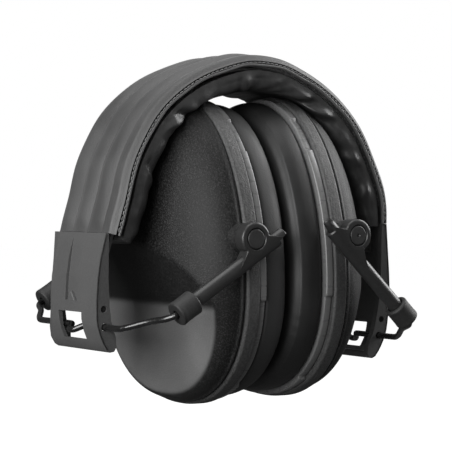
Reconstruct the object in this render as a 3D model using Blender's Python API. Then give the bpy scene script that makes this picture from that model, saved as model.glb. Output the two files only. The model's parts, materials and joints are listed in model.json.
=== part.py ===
"""Folding earmuff hearing protector, shown folded: both ear cups swung up inside the headband.

World frame in metres: X runs from one band end to the other, -Y is the front, +Z is up,
and the lowest cup stands on Z = 0. Sizes below are in millimetres.
"""

import math

import bmesh
import bpy
from mathutils import Vector

MM = 0.001
GAP = 0.3

# The band leans this many degrees to +X over the upright cups; the band's own sizes are before it.
BAND_TURN = 3.1
STAND_X = -2.26
STAND_Z = -0.36

# Fold hinges: axes along Y through the band ends.
HINGE_X = 58.9
HINGE_Z = 26.8
LEFT_FOLD = 35.1
RIGHT_FOLD = 40.4

# Yoke, arms and pivots, as (along the leg, across the leg, sideways).
WIRE_R = 1.1
LEG_DROP = 1.0
ARM_Y = 47.3
WIRE_BEND_Y = 29.5
WIRE_KNEE = 10.2
LEG_END = 42.0
COLLAR_START = 12.0
COLLAR_END = 20.2
COLLAR_R = 4.4
TUBE_START = 13.6
TUBE_END = 62.2
TUBE_R = 2.6
BORE_R = 1.45
PIN_ALONG = 50.7
PIN_ACROSS = -4.3
EAR_R = 5.7
EAR_OUT = 50.0
EAR_IN = 44.7
PIN_HEAD_R = 3.4
PIN_STEM_R = 1.8

# Ear cup: heights from its own bottom, depths from the pin plane, inboard positive.
CUP_WIDE_Z = 41.2
CUP_HALF_WIDTH = 43.0
CUP_UPPER = 66.3
CUP_LOWER = 41.2
CUP_LOWER_POWER = 2.25
PIN_HEIGHT = 58.7
SHELL_WALL = 2.2
DOME_DEPTH = 21.0
FACE_DEPTH = 9.0
FACE_TOP = 35.0
CREASE_Z = 54.0
RIM_END = 5.8
PLATE_END = 8.9
CUSHION_END = 20.8
SEGMENTS = 36
BOSS_R = 5.3

# Headband: outer profile as (half width, height), and depths measured inward from it.
ARCH = (
    (60.8, 60.2), (59.6, 70.0), (57.3, 82.0), (52.4, 93.0), (46.4, 103.0),
    (38.6, 111.2), (29.0, 118.0), (17.5, 123.2), (6.5, 126.2),
)
END_HALF = 18.6
END_HOLLOW_HALF = 16.2
LEFT_END_TOP = 58.8
RIGHT_END_TOP = 68.6
BAND_LEAN = 2.4
COVER_DEPTH = 3.2
PAD_TOP = 3.5
PAD_END = 4.8
SPRING_TOP = 5.1
SPRING_END = 6.1
LINER_TOP = 6.4
LINER_BULGE = 7.4

GREY = {
    "cover_leatherette": (0.040, 0.62, 0.0),
    "liner_vinyl": (0.014, 0.34, 0.0),
    "band_end_plastic": (0.070, 0.42, 0.0),
    "spring_steel": (0.300, 0.35, 1.0),
    "band_foam": (0.055, 0.90, 0.0),
    "piping_vinyl": (0.075, 0.50, 0.0),
    "yoke_steel": (0.040, 0.22, 0.9),
    "arm_plastic": (0.085, 0.40, 0.0),
    "collar_rubber": (0.038, 0.70, 0.0),
    "pin_plastic": (0.090, 0.36, 0.0),
    "shell_plastic": (0.028, 0.52, 0.0),
    "rim_plastic": (0.055, 0.66, 0.0),
    "plate_plastic": (0.115, 0.28, 0.0),
    "cushion_leather": (0.032, 0.46, 0.0),
    "absorber_foam": (0.030, 0.95, 0.0),
}


def stand(x, y, z):
    """Turns a point of the band's own frame to how the folded muff stands on its two cups."""
    turn = math.radians(BAND_TURN)
    return Vector((STAND_X + x * math.cos(turn) + z * math.sin(turn), y,
                   STAND_Z - x * math.sin(turn) + z * math.cos(turn)))


def clear_scene():
    for obj in list(bpy.data.objects):
        bpy.data.objects.remove(obj, do_unlink=True)


def collection(name):
    found = bpy.data.collections.new(name)
    bpy.context.scene.collection.children.link(found)
    return found


clear_scene()
PARTS = collection("earmuff")
CUTTERS = collection("cutters")
CUTTERS.hide_render = True


def material(name, kind):
    """A plain Principled material of its own for each piece."""
    level, roughness, metallic = GREY[kind]
    made = bpy.data.materials.new(name + "_" + kind)
    made.use_nodes = True
    shader = made.node_tree.nodes["Principled BSDF"]
    shader.inputs["Base Color"].default_value = (level, level, level, 1.0)
    shader.inputs["Roughness"].default_value = roughness
    shader.inputs["Metallic"].default_value = metallic
    made.diffuse_color = (level, level, level, 1.0)
    return made


def mesh_object(name, points, faces, origin, home):
    """A closed mesh from world points in millimetres, with its origin at the given point."""
    start = Vector(origin)
    shape = bpy.data.meshes.new(name)
    shape.from_pydata([(Vector(p) - start) * MM for p in points], [], faces)
    work = bmesh.new()
    work.from_mesh(shape)
    bmesh.ops.recalc_face_normals(work, faces=work.faces)
    work.to_mesh(shape)
    work.free()
    obj = bpy.data.objects.new(name, shape)
    obj.location = start * MM
    home.objects.link(obj)
    return obj


def piece(name, kind, solid, origin=(0, 0, 0)):
    obj = mesh_object(name, solid[0], solid[1], origin, PARTS)
    obj.data.materials.append(material(name, kind))
    return obj


def cutter(name, solid):
    obj = mesh_object(name, solid[0], solid[1], (0, 0, 0), CUTTERS)
    obj.hide_render = True
    obj.display_type = "WIRE"
    return obj


def boolean(obj, operation, other):
    step = obj.modifiers.new(operation.lower() + "_" + other.name, "BOOLEAN")
    step.operation = operation
    step.solver = "EXACT"
    step.object = other


def loft(rings, closed_path=False):
    """Joins equal rings of points in order, capping the first and last unless the path closes."""
    count = len(rings[0])
    points = [p for ring in rings for p in ring]
    faces = []
    last = len(rings) if closed_path else len(rings) - 1
    for i in range(last):
        a = i * count
        b = ((i + 1) % len(rings)) * count
        for j in range(count):
            k = (j + 1) % count
            faces.append((a + j, a + k, b + k, b + j))
    if not closed_path:
        faces.append(tuple(reversed(range(count))))
        faces.append(tuple(range((len(rings) - 1) * count, len(rings) * count)))
    return points, faces


def sweep(path, radius, sides=8):
    """A round rod along a path of points, mitred at each corner."""
    path = [Vector(p) for p in path]
    rings = []
    normal = None
    for i, point in enumerate(path):
        before = (point - path[i - 1]).normalized() if i else None
        after = (path[i + 1] - point).normalized() if i + 1 < len(path) else None
        along = ((before or after) + (after or before)).normalized()
        if normal is None:
            normal = along.orthogonal().normalized()
        normal = (normal - along * normal.dot(along)).normalized()
        other = along.cross(normal)
        stretch = 1.0 / max(0.6, along.dot(after or before))
        ring = []
        for k in range(sides):
            turn = 2 * math.pi * k / sides
            ring.append(point + (normal * math.cos(turn) + other * math.sin(turn)) * radius
                        * (1.0 + 0.5 * (stretch - 1.0)))
        rings.append(ring)
    return loft(rings)


def lathe(profile, start, along, sides=20):
    """Turns a closed (distance along, radius) profile about the line from start."""
    along = Vector(along).normalized()
    normal = along.orthogonal().normalized()
    other = along.cross(normal)
    start = Vector(start)
    rings = []
    for k in range(sides):
        turn = 2 * math.pi * k / sides
        out = normal * math.cos(turn) + other * math.sin(turn)
        rings.append([start + along * s + out * r for s, r in profile])
    return loft(rings, closed_path=True)


def rod(start, along, length, radius, sides=20):
    """A plain round bar of the given length."""
    along = Vector(along).normalized()
    normal = along.orthogonal().normalized()
    other = along.cross(normal)
    rings = []
    for s in (0.0, length):
        middle = Vector(start) + along * s
        ring = []
        for k in range(sides):
            turn = 2 * math.pi * k / sides
            ring.append(middle + (normal * math.cos(turn) + other * math.sin(turn)) * radius)
        rings.append(ring)
    return loft(rings)


def prism(outline, low, high, place):
    """Extrudes a flat outline between two depths; place maps (a, b, depth) to world."""
    return loft([[place(a, b, low) for a, b in outline], [place(a, b, high) for a, b in outline]])


# ---------------------------------------------------------------- headband

def lean(z):
    """How far the soft arch sags to +X at this height."""
    share = min(1.0, max(0.0, (z - 45.0) / 30.0))
    return BAND_LEAN * (0.5 * share * share * (3 - 2 * share) + 0.5 * math.exp(-((z - 75.0) / 15.0) ** 2))


def arch_path():
    """Points and inward normals along the outer profile, from the left end to the right end."""
    half = [Vector((-x, z)) for x, z in ARCH]
    other = [Vector((-p.x, p.y)) for p in reversed(half)]
    corners = half + other
    fine = []
    for i in range(len(corners) - 1):
        a = corners[max(0, i - 1)]
        b = corners[i]
        c = corners[i + 1]
        d = corners[min(len(corners) - 1, i + 2)]
        for t in (0.0, 0.5):
            fine.append(catmull(a, b, c, d, t))
    fine.append(corners[-1])
    fine = [Vector((p.x + lean(p.y), p.y)) for p in fine]
    found = []
    for i, p in enumerate(fine):
        ahead = fine[min(len(fine) - 1, i + 1)] - fine[max(0, i - 1)]
        ahead.normalize()
        found.append((p, Vector((ahead.y, -ahead.x))))
    return found


def catmull(a, b, c, d, t):
    """A point on the smooth curve between b and c."""
    return 0.5 * ((2 * b) + (c - a) * t + (2 * a - 5 * b + 4 * c - d) * t * t
                  + (3 * b - a - 3 * c + d) * t * t * t)


def band_layer(section, path):
    """Carries a (sideways, depth) section along the arch."""
    rings = []
    for i, (p, inward) in enumerate(path):
        ring = []
        for y, depth in section(i / (len(path) - 1)):
            ring.append(stand(p.x + inward.x * depth, y, p.y + inward.y * depth))
        rings.append(ring)
    return loft(rings)


def cover_section(_):
    """Padded lobes with lengthwise channels, a flat front margin and edges turned inward."""
    outer = (
        (-19.4, 2.4), (-18.6, 1.2), (-13.0, 0.6), (-11.6, 1.2), (-9.2, 0.2), (-6.4, 0.0),
        (-4.0, 0.3), (-2.4, 1.2), (-0.8, 0.2), (2.8, -0.2), (6.4, 0.1), (8.0, 1.1),
        (9.6, 0.2), (13.2, 0.2), (16.8, 0.9), (19.0, 2.4),
    )
    inner = ((18.8, COVER_DEPTH), (7.0, COVER_DEPTH), (-7.0, COVER_DEPTH), (-19.2, COVER_DEPTH))
    return outer + inner


def flat_section(half, top, bottom):
    return lambda _: ((-half, top), (0, top), (half, top), (half, bottom), (0, bottom), (-half, bottom))


def liner_fullness(share):
    """Full at the crown and low on the sides, flatter at the shoulders beside the folded cups."""
    side = min(share, 1 - share)
    shoulder = math.exp(-((side - 0.31) / 0.14) ** 2)
    return min(1.0, 0.6 + 5.0 * side) * (1.0 - 0.80 * shoulder)


def liner_section(share):
    """A pillow on the inner side of the band, full at the edges."""
    taper = liner_fullness(share)
    ring = []
    for k in range(14):
        turn = math.pi * k / 13
        y = 18.6 * math.copysign(abs(math.cos(turn)) ** 0.45, math.cos(turn))
        ring.append((y, LINER_TOP + 0.6 + (LINER_BULGE - 0.6) * taper * max(0.0, math.sin(turn)) ** 0.5))
    return tuple(ring) + ((-17.6, LINER_TOP), (0.0, LINER_TOP), (17.6, LINER_TOP))


def piping_rings(path, y):
    return sweep([stand(p.x + inward.x * 4.6, y, p.y + inward.y * 4.6) for p, inward in path], 0.75, 6)


def extend_down(path, drop):
    """Adds a straight run below each end of the arch."""
    first, last = path[0], path[-1]
    step = (path[0][0] - path[1][0]).normalized() * drop
    other = (path[-1][0] - path[-2][0]).normalized() * drop
    return [(first[0] + step, first[1])] + path + [(last[0] + other, last[1])]


def make_headband():
    path = arch_path()
    path = path[:-2]
    piece("headband_cover", "cover_leatherette", band_layer(cover_section, path))
    inner = path[2:-1]
    piece("headband_pad", "band_foam", band_layer(flat_section(16.5, PAD_TOP, PAD_END), inner))
    long_path = extend_down(path, 12.0)
    spring = flat_section(12.5, SPRING_TOP, SPRING_END)
    piece("headband_spring", "spring_steel", band_layer(spring, long_path))
    piece("headband_liner", "liner_vinyl", band_layer(liner_section, path))
    piece("front_piping", "piping_vinyl", piping_rings(path, -19.2))
    piece("rear_piping", "piping_vinyl", piping_rings(path, 18.8))


def band_end(side):
    """A curved outer plate with two crescent side walls and a floor, cut by a window, a groove and holes."""
    name = "left_band_end" if side < 0 else "right_band_end"
    top = LEFT_END_TOP if side < 0 else RIGHT_END_TOP
    back = 60.6 if side < 0 else 59.8
    front = 59.3 if side < 0 else 57.6
    outer = ((back, top), (62.3, 50.0), (62.9, 43.0), (62.9, 35.0), (62.4, 29.0), (61.2, 25.0), (59.5, 21.5),
             (57.8, 19.0), (56.3, 18.2), (54.7, 18.6), (54.0, 20.0), (54.3, 23.4), (56.3, 28.0), (57.5, 34.0),
             (58.6, 44.0), (front, top))
    # How far each point of the outline above draws in where the rear edge is rounded off.
    rounding = (-3.0,) * 6 + (-2.6, -2.2, -1.4, 0.0, 0.0, 0.0, 0.0, 0.0, 0.0, 0.0)
    hollow = ((back - 1.6, top + 2.0), (60.8, 50.0), (61.4, 43.0), (61.4, 35.0), (60.9, 29.5), (60.3, 26.0),
              (58.6, 22.6), (56.9, 20.8), (44.0, 20.8), (44.0, top + 2.0))
    place = lambda x, z, y: stand(side * x, y, z)
    rings = []
    for y, share in ((-END_HALF, 0.0), (13.8, 0.0), (16.6, 0.45), (END_HALF, 0.85)):
        limit = [max(x + dx * share, min(x, front + 0.9)) for (x, _), dx in zip(outer, rounding)]
        rings.append([place(x, z, y) for x, (_, z) in zip(limit, outer)])
    end = piece(name, "band_end_plastic", loft(rings), place(HINGE_X, HINGE_Z, 0))
    boolean(end, "DIFFERENCE", cutter(name + "_hollow", prism(hollow, -END_HOLLOW_HALF, 13.6, place)))
    window = prism(((56.9, 22.1), (68.0, 22.1), (68.0, 31.3), (56.9, 31.3)), -8.1, 8.1, place)
    boolean(end, "DIFFERENCE", cutter(name + "_window", window))
    groove = prism(((61.7, 35.1), (68.0, 35.1), (68.0, 72.0), (back - 0.9, 72.0), (61.4, 50.0), (61.9, 43.0)),
                   -5.6, 3.4, place)
    boolean(end, "DIFFERENCE", cutter(name + "_groove", groove))
    hole = rod(place(HINGE_X, HINGE_Z, -26), (0, 1, 0), 52, WIRE_R + GAP, 16)
    boolean(end, "DIFFERENCE", cutter(name + "_pivot_hole", hole))
    spare = rod(place(59.7, 32.9, -26), (0, 1, 0), 52, 1.2, 12)
    boolean(end, "DIFFERENCE", cutter(name + "_spare_hole", spare))


# ---------------------------------------------------------------- yokes and arms

def leg_frame(side):
    """Maps (along the leg, across it, sideways) to world for one side."""
    fold = math.radians(LEFT_FOLD if side < 0 else RIGHT_FOLD)

    def place(s, t, y):
        x = HINGE_X - s * math.cos(fold) - t * math.sin(fold)
        z = HINGE_Z + s * math.sin(fold) - t * math.cos(fold)
        return stand(side * x, y, z)

    return place


def yoke(side):
    """One bent wire: a leg, a splay and half the crossbar on each side, with a small crank between."""
    place = leg_frame(side)
    half = ((LEG_END, LEG_DROP, -ARM_Y), (WIRE_KNEE + 1.6, LEG_DROP, -ARM_Y),
            (WIRE_KNEE, LEG_DROP * 0.9, -ARM_Y + 1.0), (WIRE_KNEE - 1.6, LEG_DROP * 0.8, -ARM_Y + 3.2),
            (1.8, 0.15, -WIRE_BEND_Y - 2.6), (0.6, 0.0, -WIRE_BEND_Y - 0.6), (0.0, 0.0, -WIRE_BEND_Y + 1.2),
            (0.0, 0.0, -4.6), (-3.2, 0.0, -1.2))
    path = [place(*p) for p in half] + [place(s, t, -y) for s, t, y in reversed(half)]
    name = "left_wire_yoke" if side < 0 else "right_wire_yoke"
    piece(name, "yoke_steel", sweep(path, WIRE_R, 8), place(0, 0, 0))


def arm(side, end):
    """Tube with an ear plate; end is -1 at the front and +1 at the rear."""
    place = leg_frame(side)
    name = ("left_" if side < 0 else "right_") + ("front_arm" if end < 0 else "rear_arm")
    leg = place(1, 0, 0) - place(0, 0, 0)
    pin = place(PIN_ALONG, PIN_ACROSS, end * EAR_IN)
    tube = rod(place(TUBE_START, LEG_DROP, end * ARM_Y), leg, TUBE_END - TUBE_START, TUBE_R, 14)
    obj = piece(name, "arm_plastic", tube, place(TUBE_START, LEG_DROP, end * ARM_Y))
    ear = []
    for k in range(17):
        turn = math.radians(-20 - 220 * k / 16)
        ear.append((PIN_ALONG + EAR_R * math.cos(turn), PIN_ACROSS + EAR_R * math.sin(turn)))
    ear = ear + [(PIN_ALONG - 9.0, LEG_DROP - 1.2), (PIN_ALONG - 9.0, LEG_DROP), (PIN_ALONG + 8.0, LEG_DROP)]
    flat = prism(ear, end * EAR_IN, end * EAR_OUT, place)
    boolean(obj, "UNION", cutter(name + "_ear", flat))
    bore = rod(place(TUBE_START - 2, LEG_DROP, end * ARM_Y), leg, TUBE_END - TUBE_START + 4, BORE_R, 12)
    boolean(obj, "DIFFERENCE", cutter(name + "_bore", bore))
    notch = [(TUBE_END - 3.0, LEG_DROP + 0.4), (TUBE_END + 3.0, LEG_DROP + 0.4),
             (TUBE_END + 3.0, LEG_DROP + 6.0), (TUBE_END - 3.0, LEG_DROP + 6.0)]
    boolean(obj, "DIFFERENCE", cutter(name + "_notch", prism(notch, end * 40, end * 55, place)))
    out = Vector((0, end, 0))
    seat = rod(pin + out * (EAR_OUT - EAR_IN - 1.5), out, 4.0, PIN_HEAD_R + GAP, 20)
    boolean(obj, "DIFFERENCE", cutter(name + "_pin_seat", seat))
    hole = rod(pin - out * 2.0, out, 8.0, PIN_STEM_R + GAP, 16)
    boolean(obj, "DIFFERENCE", cutter(name + "_pin_hole", hole))
    collar(side, end, place, leg)
    pivot_pin(side, end, pin, out)


def collar(side, end, place, leg):
    """Thick end cap over the open end of the tube."""
    name = ("left_" if side < 0 else "right_") + ("front_collar" if end < 0 else "rear_collar")
    start = place(COLLAR_START, LEG_DROP, end * ARM_Y)
    length = COLLAR_END - COLLAR_START
    seat = TUBE_START - COLLAR_START - GAP
    profile = ((0.0, BORE_R), (0.0, COLLAR_R - 1.0), (0.4, COLLAR_R - 0.3), (1.2, COLLAR_R),
               (length - 1.0, COLLAR_R), (length - 0.2, COLLAR_R - 0.6), (length, TUBE_R + GAP),
               (seat, TUBE_R + GAP), (seat, BORE_R))
    piece(name, "collar_rubber", lathe(profile, start, leg, 16), start)


def pivot_pin(side, end, pin, out):
    """Flat-headed pin through the ear plate into the boss on the cup."""
    name = ("left_" if side < 0 else "right_") + ("front_pivot_pin" if end < 0 else "rear_pivot_pin")
    head = EAR_OUT - EAR_IN
    profile = ((-4.0, 0.0), (-4.0, PIN_STEM_R), (head - 1.2, PIN_STEM_R), (head - 1.2, PIN_HEAD_R),
               (head - 0.2, PIN_HEAD_R), (head, PIN_HEAD_R - 0.3), (head, 0.0))
    piece(name, "pin_plastic", turned(profile, pin, out, 20), pin)


def turned(profile, start, along, sides):
    """A solid of revolution whose profile starts and ends on the axis."""
    along = Vector(along).normalized()
    normal = along.orthogonal().normalized()
    other = along.cross(normal)
    rings = []
    for s, r in profile[1:-1]:
        ring = []
        for k in range(sides):
            turn = 2 * math.pi * k / sides
            ring.append(Vector(start) + along * s + (normal * math.cos(turn) + other * math.sin(turn)) * r)
        rings.append(ring)
    return loft(rings)


# ---------------------------------------------------------------- ear cups

def outline_point(turn, offset):
    """A point of the cup's egg-shaped outline, moved outward by offset, as (y, height)."""
    c, s = math.cos(turn), math.sin(turn)
    power = 2.0 if s >= 0 else CUP_LOWER_POWER
    tall = CUP_UPPER if s >= 0 else CUP_LOWER
    y = (CUP_HALF_WIDTH + offset) * math.copysign(abs(c) ** (2 / power), c)
    z = CUP_WIDE_Z + (tall + offset) * math.copysign(abs(s) ** (2 / power), s)
    return y, z


def cup_place(side):
    """Maps (inboard depth, y, height on the cup) to world for one side."""
    pin = leg_frame(side)(PIN_ALONG, PIN_ACROSS, 0)
    return lambda u, y, z: Vector((pin.x - side * u, y, pin.z + z - PIN_HEIGHT))


def ring_of(place, depth, offset, count=SEGMENTS):
    ring = []
    for k in range(count):
        y, z = outline_point(2 * math.pi * k / count, offset)
        ring.append(place(depth, y, z))
    return ring


def dome_depth(y, z, share, inset):
    """Depth of the shell outboard of its lip: a soft dome cut by a lower face and a slanted step."""
    dome = DOME_DEPTH * max(0.0, 1.0 - share ** 2.2) ** 0.5
    slope = (DOME_DEPTH - 1.5 - FACE_DEPTH) / (CREASE_Z - FACE_TOP)
    step = FACE_DEPTH + max(0.0, z - FACE_TOP) * slope - max(0.0, FACE_TOP - z) * 0.08
    return soft_min(dome, step, 0.8) - inset


def soft_min(a, b, width):
    share = max(0.0, 1.0 - abs(a - b) / width)
    return min(a, b) - 0.25 * width * share * share


def shell_surface(place, offset, inset, shares):
    rings = []
    for share in shares:
        ring = []
        for k in range(SEGMENTS):
            y, z = outline_point(2 * math.pi * k / SEGMENTS, offset)
            y = y * share
            z = 46.0 + (z - 46.0) * share
            ring.append(place(-max(0.4, dome_depth(y, z, share, inset)) if share < 1 else 0.0, y, z))
        rings.append(ring)
    return rings


def cup_shell(side, place):
    name = ("left_" if side < 0 else "right_") + "cup_shell"
    outer = shell_surface(place, 0.0, 0.0, (0.10, 0.30, 0.50, 0.66, 0.80, 0.90, 0.96, 0.99, 1.0))
    inner = shell_surface(place, -SHELL_WALL, SHELL_WALL, (1.0, 0.97, 0.88, 0.70, 0.45, 0.12))
    obj = piece(name, "shell_plastic", loft(outer + inner), place(0, 0, PIN_HEIGHT))
    for end in (-1, 1):
        tag = name + ("_front" if end < 0 else "_rear")
        start = place(0, end * 38.2, PIN_HEIGHT)
        out = Vector((0, end, 0))
        boss = rod(start, out, EAR_IN - GAP - 38.2, BOSS_R, 18)
        boolean(obj, "UNION", cutter(tag + "_boss", boss))
        hole = rod(place(0, end * (EAR_IN - 4.3), PIN_HEIGHT), out, 8.0, PIN_STEM_R + GAP, 16)
        boolean(obj, "DIFFERENCE", cutter(tag + "_boss_hole", hole))


def cup_rim(side, place):
    name = ("left_" if side < 0 else "right_") + "rim_ring"
    rings = [ring_of(place, u, w) for u, w in
             ((GAP, -6.5), (GAP, 0.7), (GAP + 0.8, 1.4), (RIM_END - 0.6, 1.4), (RIM_END, 0.8),
              (RIM_END, -6.5))]
    obj = piece(name, "rim_plastic", loft(rings, closed_path=True), place(0, 0, PIN_HEIGHT))
    for end in (-1, 1):
        tag = name + ("_front" if end < 0 else "_rear")
        notch = rod(place(0, end * 37.9, PIN_HEIGHT), Vector((0, end, 0)), 12.0, BOSS_R + GAP, 18)
        boolean(obj, "DIFFERENCE", cutter(tag + "_notch", notch))


def cup_plate(side, place):
    """Backing plate of the cushion with a step in its edge over alternate spans."""
    name = ("left_" if side < 0 else "right_") + "cushion_plate"
    low, high = RIM_END + GAP, PLATE_END
    rings = []
    profile = ((low, -13.0, 0), (low, 0.5, 1), (high - 0.5, 0.5, 1), (high, 0.0, 1), (high, -13.0, 0))
    for u, w, shallow in profile:
        ring = []
        for k in range(SEGMENTS):
            drop = 1.2 if shallow and (k // 3) % 2 else 0.0
            y, z = outline_point(2 * math.pi * k / SEGMENTS, w - drop)
            ring.append(place(u, y, z))
        rings.append(ring)
    piece(name, "plate_plastic", loft(rings, closed_path=True), place(0, 0, PIN_HEIGHT))


def cushion(side, place):
    """Soft ring with a flat side wall and a rounded face."""
    name = ("left_" if side < 0 else "right_") + "ear_cushion"
    low = PLATE_END + GAP
    profile = ((low, -20.0), (low, -4.0), (low, -1.6), (low + 1.2, -1.0), (low + 5.6, -1.2),
               (low + 9.2, -2.6), (CUSHION_END - 0.8, -5.4), (CUSHION_END, -9.5), (CUSHION_END - 1.2, -14.5),
               (low + 7.0, -18.8), (low + 3.0, -20.6))
    rings = [ring_of(place, u, w) for u, w in profile]
    piece(name, "cushion_leather", loft(rings, closed_path=True), place(0, 0, PIN_HEIGHT))


def absorber(side, place):
    """Foam block that fills the cup behind the ear opening."""
    name = ("left_" if side < 0 else "right_") + "foam_absorber"
    profile = ((-5.2, -15.0), (-4.2, -10.5), (2.0, -9.0), (4.2, -9.0), (4.8, -10.5))
    rings = [ring_of(place, u, w, 24) for u, w in profile]
    piece(name, "absorber_foam", loft(rings), place(0, 0, PIN_HEIGHT))


def screen(side, place):
    """Thin cloth-faced foam sheet at the bottom of the ear opening."""
    name = ("left_" if side < 0 else "right_") + "foam_screen"
    rings = [ring_of(place, u, w, 24) for u, w in ((5.2, -14.2), (8.2, -14.2), (8.6, -15.0))]
    piece(name, "absorber_foam", loft(rings), place(0, 0, PIN_HEIGHT))


def make_side(side):
    band_end(side)
    yoke(side)
    for end in (-1, 1):
        arm(side, end)
    place = cup_place(side)
    cup_shell(side, place)
    cup_rim(side, place)
    cup_plate(side, place)
    cushion(side, place)
    absorber(side, place)
    screen(side, place)


make_headband()
make_side(-1)
make_side(1)
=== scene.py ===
import json
import math

import bmesh
import bpy
import numpy as np
from mathutils import Matrix, Vector

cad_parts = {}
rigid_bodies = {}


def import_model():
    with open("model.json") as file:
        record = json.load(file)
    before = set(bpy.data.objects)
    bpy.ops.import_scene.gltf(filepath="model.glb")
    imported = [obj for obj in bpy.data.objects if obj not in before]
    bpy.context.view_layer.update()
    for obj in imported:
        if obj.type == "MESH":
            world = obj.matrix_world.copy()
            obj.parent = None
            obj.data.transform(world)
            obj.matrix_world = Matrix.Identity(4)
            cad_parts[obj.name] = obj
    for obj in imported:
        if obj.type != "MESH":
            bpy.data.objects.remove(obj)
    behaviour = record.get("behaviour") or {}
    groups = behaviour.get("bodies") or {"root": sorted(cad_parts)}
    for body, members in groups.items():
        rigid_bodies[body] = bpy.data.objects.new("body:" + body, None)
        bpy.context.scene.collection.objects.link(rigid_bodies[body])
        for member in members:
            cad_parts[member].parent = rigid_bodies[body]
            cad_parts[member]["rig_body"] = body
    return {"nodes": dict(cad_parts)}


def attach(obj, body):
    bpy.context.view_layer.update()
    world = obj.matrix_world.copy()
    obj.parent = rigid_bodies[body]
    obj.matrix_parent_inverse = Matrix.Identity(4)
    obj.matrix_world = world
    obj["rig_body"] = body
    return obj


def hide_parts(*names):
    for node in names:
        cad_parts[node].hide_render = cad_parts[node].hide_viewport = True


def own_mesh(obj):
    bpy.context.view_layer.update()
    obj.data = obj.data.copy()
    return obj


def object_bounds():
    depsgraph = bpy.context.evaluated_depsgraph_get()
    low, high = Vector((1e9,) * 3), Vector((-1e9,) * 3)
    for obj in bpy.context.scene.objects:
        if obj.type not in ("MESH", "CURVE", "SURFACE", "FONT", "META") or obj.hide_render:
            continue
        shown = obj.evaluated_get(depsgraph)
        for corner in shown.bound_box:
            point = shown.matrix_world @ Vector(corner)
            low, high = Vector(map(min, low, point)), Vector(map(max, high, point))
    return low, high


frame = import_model()
cad_box = [list(corner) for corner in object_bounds()]

# Folding earmuff, folded: both ear cups swung up inside the padded headband.
# Sizes are in millimetres, in the band's own frame; stand() leans it as it rests on its cups.
# Left is side -1 and right is side 1; front is end -1 and rear is end 1.
MM = 0.001
BAND_TURN = math.radians(3.1)
STAND_X = -2.26
STAND_Z = -0.36
HINGE_X = 58.9
HINGE_Z = 26.8
FOLD = {-1: math.radians(35.1), 1: math.radians(40.4)}
SIDE_NAME = {-1: "left", 1: "right"}
END_NAME = {-1: "front", 1: "rear"}

# Yokes, arms, collars and pins: places along a leg are counted from its hinge.
WIRE_R = 1.1
LEG_DROP = 1.0
ARM_Y = 47.3
WIRE_BEND_Y = 29.5
WIRE_KNEE = 10.2
LEG_END = 42.0
COLLAR_START = 12.0
COLLAR_END = 20.2
COLLAR_R = 4.4
TUBE_START = 13.6
TUBE_END = 62.2
TUBE_R = 2.6
BORE_R = 1.45
PIN_ALONG = 50.7
PIN_ACROSS = -4.3
EAR_R = 5.7
EAR_OUT = 50.0
EAR_IN = 44.7
PIN_HEAD_R = 3.4

# Ear cups: heights are counted from the cup's lowest point, and depths from the shell's rim.
CUP_WIDE_Z = 41.2
CUP_MIDDLE_Z = 46.0
CUP_HALF_WIDTH = 43.0
CUP_UPPER = 66.3
CUP_LOWER = 41.2
CUP_LOWER_POWER = 2.25
PIN_HEIGHT = 58.7
SHELL_WALL = 2.2
LIP_BEAD = ((-1.25, 0.12), (-1.0, 0.42), (-0.6, 0.55), (-0.2, 0.42), (-0.02, 0.05), (0.0, -2.2))
DOME_DEPTH = 21.0
FACE_DEPTH = 9.0
FACE_TOP = 35.0
CREASE_Z = 54.0
STEP_SLOPE = (DOME_DEPTH - 1.5 - FACE_DEPTH) / (CREASE_Z - FACE_TOP)
RIM_END = 5.8
PLATE_END = 8.9
CUSHION_END = 20.8
BOSS_R = 5.3
BOSS_START = 37.0
# Heights between which the backing plate's edge steps in, each with how far.
PLATE_STEPS = ((7.0, 37.5, 0.95), (88.5, 100.0, 0.55))

# Headband: corners of its outer line from one end up to the crown, the same on both sides.
ARCH = (
    (60.8, 60.2), (59.6, 70.0), (57.3, 82.0), (52.4, 93.0), (46.4, 103.0),
    (38.6, 111.2), (29.0, 118.0), (17.5, 123.2), (6.5, 126.2),
)
BAND_LEAN = 2.4
CHANNELS = (-12.4, -2.4, 8.0, 18.4)
LOBE_HEIGHTS = (0.45, 1.35, 1.40, 1.15)
COVER_FRONT = -19.4
COVER_REAR = 19.2
COVER_BELOW = 1.1
# The cover's inner face, from rear to front: sideways place and depth.
COVER_INNER = ((19.35, 3.0), (18.8, 3.25), (7.0, 3.25), (-7.0, 3.25), (-18.8, 3.25), (-19.55, 3.0))
WELTS = (("front_piping", -19.3), ("rear_piping", 18.9))
WELT_R = 0.55
STITCHES = 96
LINER_BELOW = 2.0
LINER_HALF = 18.9
LINER_TOP = 6.4
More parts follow.
